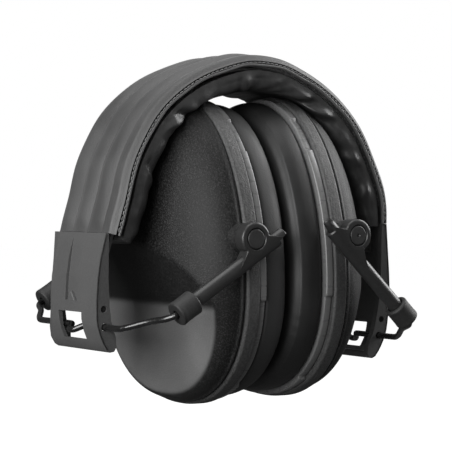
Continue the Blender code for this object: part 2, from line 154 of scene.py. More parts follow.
# How deep the lining hangs along its middle and along its edges: places on the band, then depths there.
LINER_MIDDLE = ((0, 30, 42, 54, 63, 69, 78, 86, 108, 114, 120, 129, 138, 150, 160, 200),
                (14.2, 14.2, 12.9, 10.8, 9.9, 10.1, 12.0, 13.6, 13.0, 11.6, 9.6, 9.0, 9.8, 12.6, 13.8, 13.8))
LINER_EDGE = ((0, 40, 60, 72, 84, 110, 126, 138, 156, 200),
              (14.3, 14.8, 15.2, 14.4, 15.0, 14.2, 13.6, 14.4, 14.6, 14.2))
FOLDS = (
    # place along the band from the left end, slant, width, height of the ridge beside its hollow
    (12.0, 2.8, 5.8, 0.7), (21.0, -4.2, 3.5, 1.6), (26.0, -5.6, 3.7, -1.1), (36.0, 5.6, 5.8, 0.8),
    (45.0, 7.0, 3.7, 1.6), (50.0, 9.8, 3.5, 1.5), (56.5, 8.4, 3.1, -1.6), (61.0, 4.2, 3.7, 1.4),
    (68.0, 5.6, 4.3, 0.8), (80.0, 1.4, 8.7, -0.5), (90.0, 1.4, 2.9, 2.0), (95.0, -4.2, 4.3, -0.9),
    (102.0, -9.8, 4.3, 1.1), (109.0, -14.0, 4.1, 1.2), (117.0, -11.2, 4.3, 0.9), (125.0, -5.6, 3.5, -1.6),
    (130.0, -12.6, 3.7, 1.6), (137.0, -9.8, 3.7, -1.4), (146.0, -4.2, 7.2, 0.7), (159.0, -4.2, 4.1, 1.6),
    (164.0, -2.8, 3.7, -1.4), (176.0, 4.2, 4.3, 1.4), (184.0, 5.6, 5.8, -0.8),
)

# Band ends: where each front edge line starts, its bends, the small blind holes and the raised mark.
END_LINE_TOP = {-1: (60.6, 58.4), 1: (59.8, 68.2)}
END_LINE = ((62.3, 50.0), (62.9, 43.0), (62.9, 35.0), (62.4, 29.0), (61.2, 25.0), (59.5, 21.5), (57.8, 19.2))
END_LINE_Y = -18.58
HOLE_X, HOLE_Z = 59.7, 32.9
HOLE_BOTTOM_Y = {-1: -17.4, 1: 15.4}
MARK_CORNERS = ((-3.6, 34.6), (2.6, 34.6), (-0.4, 38.4))

AMBIENT = 0.09
# The floor lies low enough, in metres, for the cups to swing down and out without meeting it.
FLOOR_DROP = 0.105
MIDDLE = (0.0, 0.0, 0.06)
SOFT_BOXES = (
    # name, place, aimed at, size, power
    ("left_softbox", (-0.80, -0.25, 0.30), MIDDLE, (0.8, 0.7), 13.0),
    ("right_softbox", (0.80, -0.12, 0.50), MIDDLE, (0.6, 0.7), 11.0),
    ("top_softbox", (-0.05, 0.05, 0.95), MIDDLE, (0.9, 0.7), 6.0),
    ("front_glow", (-0.62, -0.62, 0.10), MIDDLE, (0.5, 0.4), 1.8),
)


# ---------------------------------------------------------------- numbers

def smooth(x):
    """Eases from 0 to 1 as x goes from 0 to 1: three x squared less two x cubed."""
    x = np.clip(x, 0.0, 1.0)
    return x * x * (3 - 2 * x)


def soft_plus(x, width):
    """Zero below 0 and x above it, with the corner rounded over the width."""
    return 0.5 * (x + np.sqrt(x * x + width * width))


def soft_min(a, b, width):
    """The smaller of two values, with their crossing rounded over the width."""
    share = np.maximum(0.0, 1.0 - np.abs(a - b) / width)
    return np.minimum(a, b) - 0.25 * width * share * share


def stack(x, y, z):
    """Joins three coordinates, spread to one shape, into points."""
    return np.stack(np.broadcast_arrays(x, y, z), -1).astype(float)


def stand(x, y, z):
    """Turns band-frame points about Y by the lean, then shifts them on to the floor, in metres."""
    c, s = math.cos(BAND_TURN), math.sin(BAND_TURN)
    return stack(STAND_X + x * c + z * s, y, STAND_Z - x * s + z * c) * MM


def catmull(corners, at, closed=False):
    """Smooth curve through the corners; at counts corners, and each stretch blends its four nearest."""
    corners = np.asarray(corners, float)
    at = np.asarray(at, float)
    count = len(corners)
    if closed:
        i = np.floor(at).astype(int)
        pick = lambda k: corners[(i + k) % count]
    else:
        i = np.clip(np.floor(at).astype(int), 0, count - 2)
        pick = lambda k: corners[np.clip(i + k, 0, count - 1)]
    t = (at - i)[:, None]
    a, b, c, d = pick(-1), pick(0), pick(1), pick(2)
    return 0.5 * (2 * b + (c - a) * t + (2 * a - 5 * b + 4 * c - d) * t ** 2
                  + (3 * b - a - 3 * c + d) * t ** 3)


def rounded(corners, radius, steps):
    """Replaces each corner of a closed outline by a quadratic arc that starts and ends a radius away."""
    corners = np.asarray(corners, float)
    before = np.roll(corners, 1, 0) - corners
    after = np.roll(corners, -1, 0) - corners
    radius = np.broadcast_to(radius, len(corners))[:, None]
    far_b = np.linalg.norm(before, axis=1, keepdims=True)
    far_a = np.linalg.norm(after, axis=1, keepdims=True)
    start = corners + before / far_b * np.minimum(radius, far_b * 0.45)
    stop = corners + after / far_a * np.minimum(radius, far_a * 0.45)
    t = np.linspace(0, 1, steps)[None, :, None]
    arcs = start[:, None] * (1 - t) ** 2 + corners[:, None] * 2 * t * (1 - t) + stop[:, None] * t ** 2
    return arcs.reshape(-1, 2)


# ---------------------------------------------------------------- meshes

def mesh_piece(name, body, finish, points, faces, sharp=40.0, stands_for=()):
    """A mesh from points and lists of faces, turned outside out if its signed volume is negative."""
    points = np.asarray(points, float).reshape(-1, 3)
    volume = 0.0
    for face in faces:
        corner = points[face]
        for k in range(1, face.shape[1] - 1):
            volume += np.einsum("ij,ij->", corner[:, 0], np.cross(corner[:, k], corner[:, k + 1]))
    lists = []
    for face in faces:
        lists += (face[:, ::-1] if volume < 0 else face).tolist()
    mesh = bpy.data.meshes.new(name)
    mesh.from_pydata(points.tolist(), [], lists)
    mesh.shade_smooth()
    mesh.set_sharp_from_angle(angle=math.radians(sharp))
    mesh.materials.append(finish)
    obj = bpy.data.objects.new(name, mesh)
    bpy.context.scene.collection.objects.link(obj)
    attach(obj, body)
    if stands_for:
        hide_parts(*stands_for)
    return obj


def grid_faces(rows, cols, wrap_rows=False, first=0):
    """Quads between neighbouring rows of a grid, whose columns close into rings."""
    index = first + np.arange(rows * cols).reshape(rows, cols)
    i = np.arange(rows if wrap_rows else rows - 1)[:, None]
    j = np.arange(cols)[None, :]
    up, along = (i + 1) % rows, (j + 1) % cols
    return np.stack([index[i, j], index[up, j], index[up, along], index[i, along]], -1).reshape(-1, 4)


def surface(name, body, finish, points, wrap_rows=False, **more):
    """A tube-like surface: each row of the grid is a closed ring. Wrapped rows join the last ring to the
    first one; otherwise a fan of triangles caps each end."""
    rows, cols = points.shape[:2]
    flat = points.reshape(-1, 3)
    faces = [grid_faces(rows, cols, wrap_rows)]
    if not wrap_rows:
        flat = np.vstack([flat, points[0].mean(0), points[-1].mean(0)])
        j = np.arange(cols)
        last = (rows - 1) * cols
        faces.append(np.stack([np.full(cols, rows * cols), j, (j + 1) % cols], -1))
        faces.append(np.stack([np.full(cols, rows * cols + 1), last + (j + 1) % cols, last + j], -1))
    return mesh_piece(name, body, finish, flat, faces, **more)


def tube_points(path, radius, sides):
    """Rings of a radius round a path, each at right angles to it, with the frame carried along unturned."""
    path = np.asarray(path, float)
    ahead = np.gradient(path, axis=0)
    ahead /= np.linalg.norm(ahead, axis=1, keepdims=True)
    normal = np.zeros_like(ahead)
    first = np.cross(ahead[0], (0.31, 0.2, 0.93))
    normal[0] = first / np.linalg.norm(first)
    for k in range(1, len(path)):
        n = normal[k - 1] - ahead[k] * (normal[k - 1] @ ahead[k])
        normal[k] = n / np.linalg.norm(n)
    other = np.cross(ahead, normal)
    turn = np.linspace(0, 2 * math.pi, sides, endpoint=False)
    ring = normal[:, None] * np.cos(turn)[None, :, None] + other[:, None] * np.sin(turn)[None, :, None]
    return path[:, None] + ring * radius


def turned_points(profile, start, along, sides):
    """A profile of (distance along, radius), in millimetres, turned round an axis."""
    profile = np.asarray(profile, float)
    along = np.asarray(along, float) / np.linalg.norm(along)
    first = np.cross(along, (0.0, 0.0, 1.0) if abs(along[2]) < 0.9 else (1.0, 0.0, 0.0))
    first /= np.linalg.norm(first)
    other = np.cross(along, first)
    turn = np.linspace(0, 2 * math.pi, sides, endpoint=False)
    ring = first * np.cos(turn)[:, None] + other * np.sin(turn)[:, None]
    return np.asarray(start) + along * profile[:, :1, None] * MM + ring[None] * profile[:, 1:, None] * MM


# ---------------------------------------------------------------- finishes

def node(tree, kind, **values):
    """A new node: each value goes to the input of that name, or else to the node's own setting."""
    made = tree.nodes.new(kind)
    for key, value in values.items():
        if key in made.inputs:
            made.inputs[key].default_value = value
        else:
            setattr(made, key, value)
    return made


def noise(tree, where, scale, detail=3.0, rough=0.55, stretch=None):
    """A noise pattern whose grains are about 1/scale metres apart."""
    if stretch:
        mapping = node(tree, "ShaderNodeMapping", Scale=stretch)
        tree.links.new(where, mapping.inputs["Vector"])
        where = mapping.outputs["Vector"]
    made = node(tree, "ShaderNodeTexNoise", Scale=scale, Detail=detail, Roughness=rough)
    tree.links.new(where, made.inputs["Vector"])
    return made.outputs["Fac"]


def cells(tree, where, scale):
    """The distance to the nearest of many scattered points, about 1/scale metres apart."""
    made = node(tree, "ShaderNodeTexVoronoi", Scale=scale)
    tree.links.new(where, made.inputs["Vector"])
    return made.outputs["Distance"]


def ramp(tree, value, low, high, start=0.3, stop=0.7):
    """Eases a pattern on to values between low and high."""
    made = node(tree, "ShaderNodeMapRange", interpolation_type="SMOOTHSTEP")
    for key, number in (("From Min", start), ("From Max", stop), ("To Min", low), ("To Max", high)):
        made.inputs[key].default_value = number
    tree.links.new(value, made.inputs["Value"])
    return made.outputs["Result"]


def combine(tree, operation, a, b):
    """Arithmetic on two patterns or numbers."""
    made = node(tree, "ShaderNodeMath", operation=operation)
    for socket, value in zip(made.inputs, (a, b)):
        if isinstance(value, (int, float)):
            socket.default_value = value
        else:
            tree.links.new(value, socket)
    return made.outputs[0]


def shared(tree, a, share, b):
    """Adds two patterns: a share of the first and the rest of the second."""
    return combine(tree, "ADD", combine(tree, "MULTIPLY", a, share), combine(tree, "MULTIPLY", b, 1 - share))


# The colour sockets of a Mix node, whose names repeat.
MIX_FACTOR, MIX_A, MIX_B, MIX_RESULT = 0, 6, 7, 2


def mix_colours(tree, fac, a, b):
    """Mixes two colours, each a value or a socket, by a pattern."""
    made = node(tree, "ShaderNodeMix", data_type="RGBA")
    tree.links.new(fac, made.inputs[MIX_FACTOR])
    for socket, colour in ((made.inputs[MIX_A], a), (made.inputs[MIX_B], b)):
        if isinstance(colour, tuple):
            socket.default_value = (*colour, 1)
        else:
            tree.links.new(colour, socket)
    return made.outputs[MIX_RESULT]


def bump(tree, shader, layers):
    """Chains bumps, each (height pattern, strength, depth in metres), coarsest first."""
    last = None
    for height, strength, depth in layers:
        made = node(tree, "ShaderNodeBump", Strength=strength, Distance=depth)
        tree.links.new(height, made.inputs["Height"])
        if last:
            tree.links.new(last, made.inputs["Normal"])
        last = made.outputs["Normal"]
    tree.links.new(last, shader.inputs["Normal"])


def finish_of(name, **fixed):
    """An empty finish: returns the material, its node tree, its shader and the Object coordinates."""
    made = bpy.data.materials.new(name)
    made.use_nodes = True
    tree = made.node_tree
    shader = tree.nodes["Principled BSDF"]
    for key, value in fixed.items():
        shader.inputs[key.replace("_", " ")].default_value = value
    where = node(tree, "ShaderNodeTexCoord").outputs["Object"]
    return made, tree, shader, where


def grey(value):
    """A grey as a colour."""
    return (value, value, value)


def leather(name, base, rough, pebble, depth, sheen=0.0, spread=0.18, gloss=0.5):
    """Pebbled leatherette: rounded cells with fine pores, and slow shade changes from handling."""
    made, tree, shader, where = finish_of(name, IOR=1.5, Sheen_Weight=sheen, Sheen_Roughness=0.4,
                                           Specular_IOR_Level=gloss)
    slow = noise(tree, where, 55.0, 2.0)
    grain = cells(tree, where, pebble)
    fine = noise(tree, where, pebble * 2.7, 4.0, 0.65)
    shade = ramp(tree, shared(tree, slow, 0.75, fine), 0, 1)
    tree.links.new(mix_colours(tree, shade, grey(base * (1 - spread)), grey(base * (1 + spread))),
                   shader.inputs["Base Color"])
    tree.links.new(ramp(tree, slow, rough - 0.06, rough + 0.06), shader.inputs["Roughness"])
    bump(tree, shader, ((slow, 0.15, 0.0004), (grain, 0.35, depth), (fine, 0.25, depth * 0.6)))
    return made


def vinyl(name, base, rough):
    """Thin glossy vinyl: long soft creases over fine crumples, under a clear skin."""
    made, tree, shader, where = finish_of(name, IOR=1.5, Coat_Weight=0.12, Coat_Roughness=0.25)
    crease = noise(tree, where, 95.0, 3.0, 0.5, stretch=(1.0, 0.35, 1.0))
    crumple = noise(tree, where, 310.0, 4.0, 0.6)
    fine = noise(tree, where, 1900.0, 3.0, 0.6)
    tree.links.new(mix_colours(tree, ramp(tree, crumple, 0, 1), grey(base * 0.75), grey(base * 1.3)),
                   shader.inputs["Base Color"])
    tree.links.new(ramp(tree, fine, rough - 0.05, rough + 0.09), shader.inputs["Roughness"])
    bump(tree, shader, ((crease, 0.22, 0.0012), (crumple, 0.10, 0.0003), (fine, 0.10, 0.00006)))
    return made


def moulded(name, base, rough, grain, depth, speckle=0.12, strength=0.4, coat=0.0):
    """Moulded plastic: spark-eroded grain, faint flow shading, and scuffs that change its gloss."""
    made, tree, shader, where = finish_of(name, IOR=1.46, Coat_Weight=coat, Coat_Roughness=0.2)
    spark = noise(tree, where, grain, 3.0, 0.6)
    flow = noise(tree, where, 38.0, 2.0)
    scratch = noise(tree, where, 420.0, 5.0, 0.7, stretch=(0.2, 1.0, 1.0))
    shade = ramp(tree, shared(tree, spark, 0.6, flow), 0, 1, 0.35, 0.65)
    tree.links.new(mix_colours(tree, shade, grey(base * (1 - speckle)), grey(base * (1 + speckle))),
                   shader.inputs["Base Color"])
    tree.links.new(ramp(tree, scratch, rough - 0.05, rough + 0.05), shader.inputs["Roughness"])
    bump(tree, shader, ((flow, 0.08, 0.0003), (spark, strength, depth)))
    return made


def grained_shell(name, dark, face):
    """Coarse spark grain with pale specks on the dome, and a finer grain painted lighter where the piece's
    own lower_face attribute is 1: partly the flat face's own finish and partly painted light."""
    made, tree, shader, where = finish_of(name, IOR=1.46, Roughness=0.5, Specular_IOR_Level=0.22)
    spark = noise(tree, where, 2100.0, 3.0, 0.7)
    fine = noise(tree, where, 3600.0, 3.0, 0.6)
    flow = noise(tree, where, 38.0, 2.0)
    share = node(tree, "ShaderNodeAttribute", attribute_name="lower_face").outputs["Fac"]
    dome_grey = mix_colours(tree, ramp(tree, spark, 0, 1, 0.45, 0.75), grey(dark * 0.35), grey(dark * 2.6))
    face_shade = ramp(tree, shared(tree, fine, 0.6, flow), 0, 1, 0.35, 0.65)
    face_grey = mix_colours(tree, face_shade, grey(face * 0.8), grey(face * 1.2))
    tree.links.new(mix_colours(tree, share, dome_grey, face_grey), shader.inputs["Base Color"])
    tree.links.new(ramp(tree, spark, 0.44, 0.60), shader.inputs["Roughness"])
    bump(tree, shader, ((flow, 0.08, 0.0003), (spark, 0.65, 0.00018)))
    return made


def blackened_steel(name, base, rough):
    """Drawn wire, blackened and lacquered: fine lines along it and small worn bright spots."""
    made, tree, shader, where = finish_of(name, Metallic=0.85, Coat_Weight=0.4, Coat_Roughness=0.12)
    lines = noise(tree, where, 700.0, 4.0, 0.6, stretch=(0.15, 1.0, 1.0))
    worn = noise(tree, where, 160.0, 4.0, 0.6)
    tree.links.new(mix_colours(tree, ramp(tree, worn, 0, 1, 0.55, 0.75), grey(base), grey(base * 1.5)),
                   shader.inputs["Base Color"])
    tree.links.new(ramp(tree, lines, rough - 0.05, rough + 0.1), shader.inputs["Roughness"])
    bump(tree, shader, ((lines, 0.15, 0.00005),))
    return made


def foam(name, base):
    """Open-cell foam: dark pores between light walls."""
    made, tree, shader, where = finish_of(name, Roughness=0.95, Sheen_Weight=0.2)
    pores = cells(tree, where, 1100.0)
    lumps = noise(tree, where, 260.0, 4.0, 0.6)
    tree.links.new(mix_colours(tree, ramp(tree, pores, 0, 1, 0.1, 0.6), grey(base * 1.4), grey(base * 0.4)),
                   shader.inputs["Base Color"])
    bump(tree, shader, ((lumps, 0.3, 0.0006), (pores, 0.8, 0.0004)))
    return made


def thread(name, base):
    """Twisted sewing thread: slanted plies and a little fuzz."""
    made, tree, shader, where = finish_of(name, Roughness=0.8, Sheen_Weight=0.4)
    plies = noise(tree, where, 2600.0, 3.0, 0.6, stretch=(1.0, 1.0, 0.35))
    tree.links.new(mix_colours(tree, ramp(tree, plies, 0, 1), grey(base * 0.6), grey(base * 1.25)),
                   shader.inputs["Base Color"])
    bump(tree, shader, ((plies, 0.5, 0.0001),))
    return made


COVER = leather("cover_leatherette", 0.038, 0.56, 1500.0, 0.00012, sheen=0.10)
PIPING = leather("piping_leatherette", 0.070, 0.5, 1900.0, 0.0001)
# The right cushion's copy of the leatherette has a darker base than the left one's: painted shade, for the
# shade it lies in between the cups.
CUSHION = {-1: leather("left_cushion_leatherette", 0.026, 0.58, 1700.0, 0.00007, spread=0.12, gloss=0.3),
           1: leather("right_cushion_leatherette_painted_shade", 0.010, 0.50, 1700.0, 0.00007, spread=0.12, gloss=0.4)}
LINER = vinyl("liner_vinyl", 0.024, 0.46)
# The right shell's dome has a lighter base than the left one's: painted light, for the light the right cup
# takes from the right. The flat lower faces are painted lighter than the domes: partly their own finer finish
# and partly painted light.
SHELL = {-1: grained_shell("left_shell_grain_plastic", 0.015, 0.105),
         1: grained_shell("right_shell_grain_plastic_painted_light", 0.030, 0.090)}
RIM = moulded("rim_spark_plastic", 0.036, 0.55, 1500.0, 0.00030, speckle=0.45, strength=0.8)
PLATE = moulded("plate_smooth_plastic", 0.11, 0.30, 900.0, 0.00003, speckle=0.06, strength=0.2, coat=0.2)
BAND_END = moulded("band_end_satin_plastic", 0.065, 0.36, 1700.0, 0.00006, speckle=0.12, strength=0.3)
ARM = moulded("arm_satin_plastic", 0.018, 0.36, 1600.0, 0.00006, speckle=0.15, strength=0.3)
PIN = moulded("pin_satin_plastic", 0.024, 0.34, 1500.0, 0.00005, speckle=0.12, strength=0.25)
COLLAR = moulded("collar_rubber", 0.011, 0.62, 1300.0, 0.00012, speckle=0.25, strength=0.5)
# Near-black painted shadow: a thin line where each band end's front wall meets its plate, and plugs at the
# bottoms of its blind holes.
PAINTED_SHADOW = moulded("painted_shadow_black", 0.004, 0.7, 1500.0, 0.00005)
WIRE = blackened_steel("yoke_blackened_steel", 0.05, 0.18)
SPRING = blackened_steel("spring_strip_steel", 0.25, 0.3)
FOAM = foam("cup_foam", 0.03)
PAD_FOAM = foam("band_foam", 0.06)
THREAD = thread("stitch_thread", 0.13)


# ---------------------------------------------------------------- headband

def lean(z):
    """How far the soft arch sags to the right at a height."""
    share = smooth((z - 45.0) / 30.0)
    return BAND_LEAN * (0.5 * share + 0.5 * np.exp(-((z - 75.0) / 15.0) ** 2))


def arch(samples, below=0.0):
    """The band's outer line: a smooth curve through its corners plus the sag, with its inward normals."""
    corners = [(-x, z) for x, z in ARCH] + [(x, z) for x, z in reversed(ARCH)]
    points = catmull(corners, np.linspace(0, len(corners) - 2, samples))
    points[:, 0] += lean(points[:, 1])
    ahead = np.gradient(points, axis=0)
    ahead /= np.linalg.norm(ahead, axis=1, keepdims=True)
    if below:
        points = np.vstack([points[:1] - ahead[:1] * below, points, points[-1:] + ahead[-1:] * below])
        ahead = np.vstack([ahead[:1], ahead, ahead[-1:]])
    along = np.concatenate([[0], np.cumsum(np.linalg.norm(np.diff(points, axis=0), axis=1))])
    return points, np.stack([ahead[:, 1], -ahead[:, 0]], -1), along


def on_band(line, y, depth):
    """Points at a sideways place and a depth in from the band's outer line."""
    points, inward, _ = line
    return stand(points[:, :1] + inward[:, :1] * depth, y, points[:, 1:] + inward[:, 1:] * depth)


def cover_depth(y, along, total):
    """Padded lobes between sewn channels: each lobe is a half sine raised to a low power, with slow waves
    along the band, and both edges roll inward."""
    edges = np.array((-19.0,) + CHANNELS)
    lobe = np.clip(np.searchsorted(edges, y, side="right") - 1, 0, len(edges) - 2)
    share = (y - edges[lobe]) / (edges[lobe + 1] - edges[lobe])
    puff = np.clip(np.sin(np.pi * np.clip(share, 0, 1)), 0, 1) ** 0.9
    height = np.array(LOBE_HEIGHTS)[lobe] * puff
    ends = smooth(along / 5.0) * smooth((total - along) / 5.0)
    wave = 1 + 0.10 * np.sin(along / 9.0 + y * 0.20) + 0.06 * np.sin(along / 4.1 - y * 0.5)
    roll = 1.7 * smooth((np.abs(y) - 17.2) / 2.4)
    return 1.25 - height * (0.45 + 0.55 * ends) * wave + roll


def make_cover():
    """The leatherette cover: the lobed outer skin, edges rolled inward, and a flat inner face."""
    line = arch(300, below=COVER_BELOW)
    total = line[2][-1]
    y = np.linspace(COVER_FRONT, COVER_REAR, 150)
    depth = cover_depth(y[None], line[2][:, None], total)
    inner = np.array(COVER_INNER)
    all_y = np.concatenate([y, inner[:, 0]])[None]
    all_depth = np.hstack([depth, np.repeat(inner[None, :, 1], len(depth), 0)])
    obj = surface("headband_cover_padded", "band", COVER, on_band(line, all_y, all_depth), sharp=75,
                  stands_for=("headband_cover",))


def make_piping():
    """A thin welt along each edge of the band, and the stitches beside the front one."""
    line = arch(420, below=COVER_BELOW)
    for name, y in WELTS:
        path = on_band(line, y, 4.45 + 0.12 * np.sin(line[2] / 3.0)[:, None])[:, 0]
        obj = surface(name + "_welt", "band", PIPING, tube_points(path, WELT_R * MM, 14), stands_for=(name,))
    points, inward, along = line
    middle = np.linspace(2.0, along[-1] - 2.0, STITCHES)
    part = np.linspace(-1, 1, 7)
    turn = np.linspace(0, 2 * math.pi, 8, endpoint=False)
    place = middle[:, None, None] + part[None, :, None] * 0.85
    thick = 0.17 * np.sqrt(np.maximum(0.02, 1 - part ** 4))[None, :, None]
    px = np.interp(place, along, points[:, 0])
    pz = np.interp(place, along, points[:, 1])
    nx = np.interp(place, along, inward[:, 0])
    nz = np.interp(place, along, inward[:, 1])
    depth = 3.6 + thick * np.cos(turn) + 0.15 * part[None, :, None] ** 2
    y = -19.66 + thick * np.sin(turn) + 0.12 * part[None, :, None] ** 2
    grid = stand(px + nx * depth, y, pz + nz * depth)
    faces, caps = [], []
    size = len(part) * len(turn)
    ring = np.arange(len(turn))
    for k in range(STITCHES):
        faces.append(grid_faces(len(part), len(turn), first=k * size))
        caps.append(np.stack([k * size + ring[::-1], k * size + size - len(turn) + ring]))
    mesh_piece("front_edge_stitches", "band", THREAD, grid, [np.vstack(faces), np.vstack(caps)])


def liner_top(along, y):
    """How deep the lining hangs: full at both edges, pressed thinner in the middle where the cups sit.
    The two depths are read along the band and joined by the square of the sideways place."""
    middle = np.interp(along, LINER_MIDDLE[0], LINER_MIDDLE[1])
    edge = np.interp(along, LINER_EDGE[0], LINER_EDGE[1])
    return middle + (edge - middle) * np.clip(np.abs(y) / LINER_HALF, 0, 1) ** 2


def make_liner():
    """The soft inner lining: a pillow-shaped section carried along the arch, with slanted folds.
    Each fold adds (x + 0.3) times exp(-x squared), which is a ridge beside a hollow."""
    line = arch(640, below=LINER_BELOW)
    along = line[2][:, None]
    total = along[-1, 0]
    turn = np.linspace(0, math.pi, 110)[None]
    wall = np.maximum(0.0, np.sin(turn))
    side = np.sign(np.cos(turn))
    y = -LINER_HALF * side * np.abs(np.cos(turn)) ** 0.42
    ends = (0.72 + 0.28 * smooth(along / 5)) * (0.72 + 0.28 * smooth((total - along) / 5))
    depth = LINER_TOP + (liner_top(along, y) - LINER_TOP) * wall ** 0.55 * ends
    reach = turn / math.pi
    lift = np.zeros_like(depth)
    for place, slant, width, height in FOLDS:
        x = (along - place - slant * (reach - 0.18) * 3) / width
        lift += height * (x + 0.3) * np.exp(-x * x) * (0.75 + 0.25 * np.cos(reach * 9 + place))
    lift += 0.25 * np.sin(along / 6.1 + reach * 4 + 1.0) * np.sin(along / 4.7 + reach * 5)
    lift *= smooth(reach / 0.06) * smooth((1 - reach) / 0.06)
    lift *= smooth(along / 4) * smooth((total - along) / 4)
    on_wall = smooth((np.abs(np.cos(turn)) - 0.2) / 0.5)
    y = y - side * lift * 0.85 * on_wall
    depth = depth + lift * (0.15 + 0.25 * on_wall)
    y = np.clip(y, -20.9, 20.7)
    base_y = np.array([17.6, 9.0, 0.0, -9.0, -17.6])[None] + 0 * along
    base_depth = np.full_like(base_y, LINER_TOP - 0.05)
    grid = on_band(line, np.hstack([y, base_y]), np.hstack([depth, base_depth]))
    obj = surface("headband_liner_soft", "band", LINER, grid, sharp=85, stands_for=("headband_liner",))


# ---------------------------------------------------------------- yokes and arms

def leg_place(side):
    """Maps (along the leg, across it, sideways) to the world for one side, folded as it is at rest."""
    fold = FOLD[side]

    def place(s, t, y):
        x = HINGE_X - s * math.cos(fold) - t * math.sin(fold)
        z = HINGE_Z + s * math.sin(fold) - t * math.cos(fold)
        return stand(side * x, y, z)

    return place


def make_yoke(side):
    """One bent wire: a smooth curve through its bends, the same at front and rear."""
    place = leg_place(side)
    front_leg = ((LEG_END, LEG_DROP, -ARM_Y), (WIRE_KNEE + 12.0, LEG_DROP, -ARM_Y),
                 (WIRE_KNEE + 2.6, LEG_DROP, -ARM_Y))
    knee = ((WIRE_KNEE + 0.9, LEG_DROP * 0.97, -ARM_Y + 0.25),
            (WIRE_KNEE - 0.4, LEG_DROP * 0.88, -ARM_Y + 1.3),
            (WIRE_KNEE - 1.6, LEG_DROP * 0.8, -ARM_Y + 3.2), (6.0, 0.5, -38.2))
    bend = ((2.2, 0.17, -WIRE_BEND_Y - 3.2), (0.9, 0.02, -WIRE_BEND_Y - 0.9), (0.1, 0.0, -WIRE_BEND_Y + 1.2))
    axle = ((0.0, 0.0, -24.0), (0.0, 0.0, -12.0), (0.0, 0.0, -5.4))
    crank = ((-0.5, 0.0, -4.3), (-2.6, 0.0, -2.1), (-3.2, 0.0, -0.9))
    half = np.array(front_leg + knee + bend + axle + crank)
    corners = np.vstack([half, half[::-1] * (1, 1, -1)])
    fine = catmull(corners, np.linspace(0, len(corners) - 1, 420))
    path = place(fine[:, 0], fine[:, 1], fine[:, 2])
    name = SIDE_NAME[side]
    obj = surface(f"{name}_wire_yoke_smooth", f"{name}_yoke", WIRE, tube_points(path, WIRE_R * MM, 18),
                  stands_for=(f"{name}_wire_yoke",))


def ear_outline(turn):
    """Distance from the pin to the ear plate's edge: a round end that flares into the tube."""
    down = LEG_DROP - PIN_ACROSS
    corners = [(EAR_R * math.cos(a), EAR_R * math.sin(a)) for a in np.radians(np.arange(18, -199, -12.0))]
    corners += [(-7.0, down - 2.4), (-9.3, down - 1.0), (-11.8, down + 0.3), (-6.0, down + 0.5)]
    corners += [(0.0, down + 0.6), (6.0, down + 0.5), (10.0, down + 0.2)]
    corners += [(8.6, down - 1.0), (6.8, down - 2.4)]
    fine = catmull(corners, np.linspace(0, len(corners), 500, endpoint=False), closed=True)
    angle = np.unwrap(np.arctan2(fine[:, 1], fine[:, 0]))
    reach = np.hypot(fine[:, 0], fine[:, 1])
    order = np.argsort(np.mod(angle, 2 * math.pi))
    return np.interp(turn, np.mod(angle, 2 * math.pi)[order], reach[order], period=2 * math.pi)


def make_arm(side, end):
    """The arm: a hollow tube with half of its far end cut away, and an ear plate with a seat for the pin."""
    place = leg_place(side)
    name = f"{SIDE_NAME[side]}_{END_NAME[end]}"
    body = f"{SIDE_NAME[side]}_arms"
    turn = np.linspace(0, 2 * math.pi, 48, endpoint=False)[None]
    cut = 3.0 * smooth((np.sin(turn) + 0.12) / 0.24)
    # Place along the leg, radius, and whether the cut moves it.
    rows = ((TUBE_START, BORE_R, 0), (TUBE_START, TUBE_R - 0.3, 0), (TUBE_START + 0.3, TUBE_R, 0),
            (TUBE_START + 20, TUBE_R, 0), (TUBE_END - 5, TUBE_R, 0), (TUBE_END - 0.4, TUBE_R, 1),
            (TUBE_END, TUBE_R - 0.35, 1), (TUBE_END, BORE_R + 0.3, 1), (TUBE_END - 0.4, BORE_R, 1),
            (TUBE_END - 5, BORE_R, 0), (TUBE_START + 2, BORE_R, 0))
    s = np.vstack([row[0] - cut * row[2] for row in rows])
    r = np.array([row[1] for row in rows])[:, None]
    grid = place(s, LEG_DROP + r * np.sin(turn), end * ARM_Y + r * np.cos(turn))
    tube = surface(f"{name}_arm_tube", body, ARM, grid, wrap_rows=True, stands_for=(f"{name}_arm",))
    turn = np.linspace(0, 2 * math.pi, 140, endpoint=False)[None]
    edge = ear_outline(turn[0])[None]
    thick = EAR_OUT - EAR_IN
    # Distance from the pin or, where the last number is 1, from the ear's edge; then height on the ear.
    rows = ((0.2, thick - 1.55, 0), (3.68, thick - 1.5, 0), (3.70, thick - 0.25, 0), (3.92, thick, 0),
            (4.4, thick, 0), (-0.85, thick, 1), (-0.35, thick - 0.12, 1), (-0.1, thick - 0.4, 1),
            (0.0, thick - 0.9, 1), (0.0, 0.9, 1), (-0.1, 0.4, 1), (-0.35, 0.12, 1), (-0.85, 0.0, 1),
            (2.2, 0.0, 0))
    radius = np.vstack([row[0] + edge * row[2] for row in rows])
    height = np.array([row[1] for row in rows])[:, None]
    grid = place(PIN_ALONG + radius * np.cos(turn), PIN_ACROSS + radius * np.sin(turn),
                 end * (EAR_IN + height))
    ear = surface(f"{name}_arm_ear", body, ARM, grid, sharp=35)


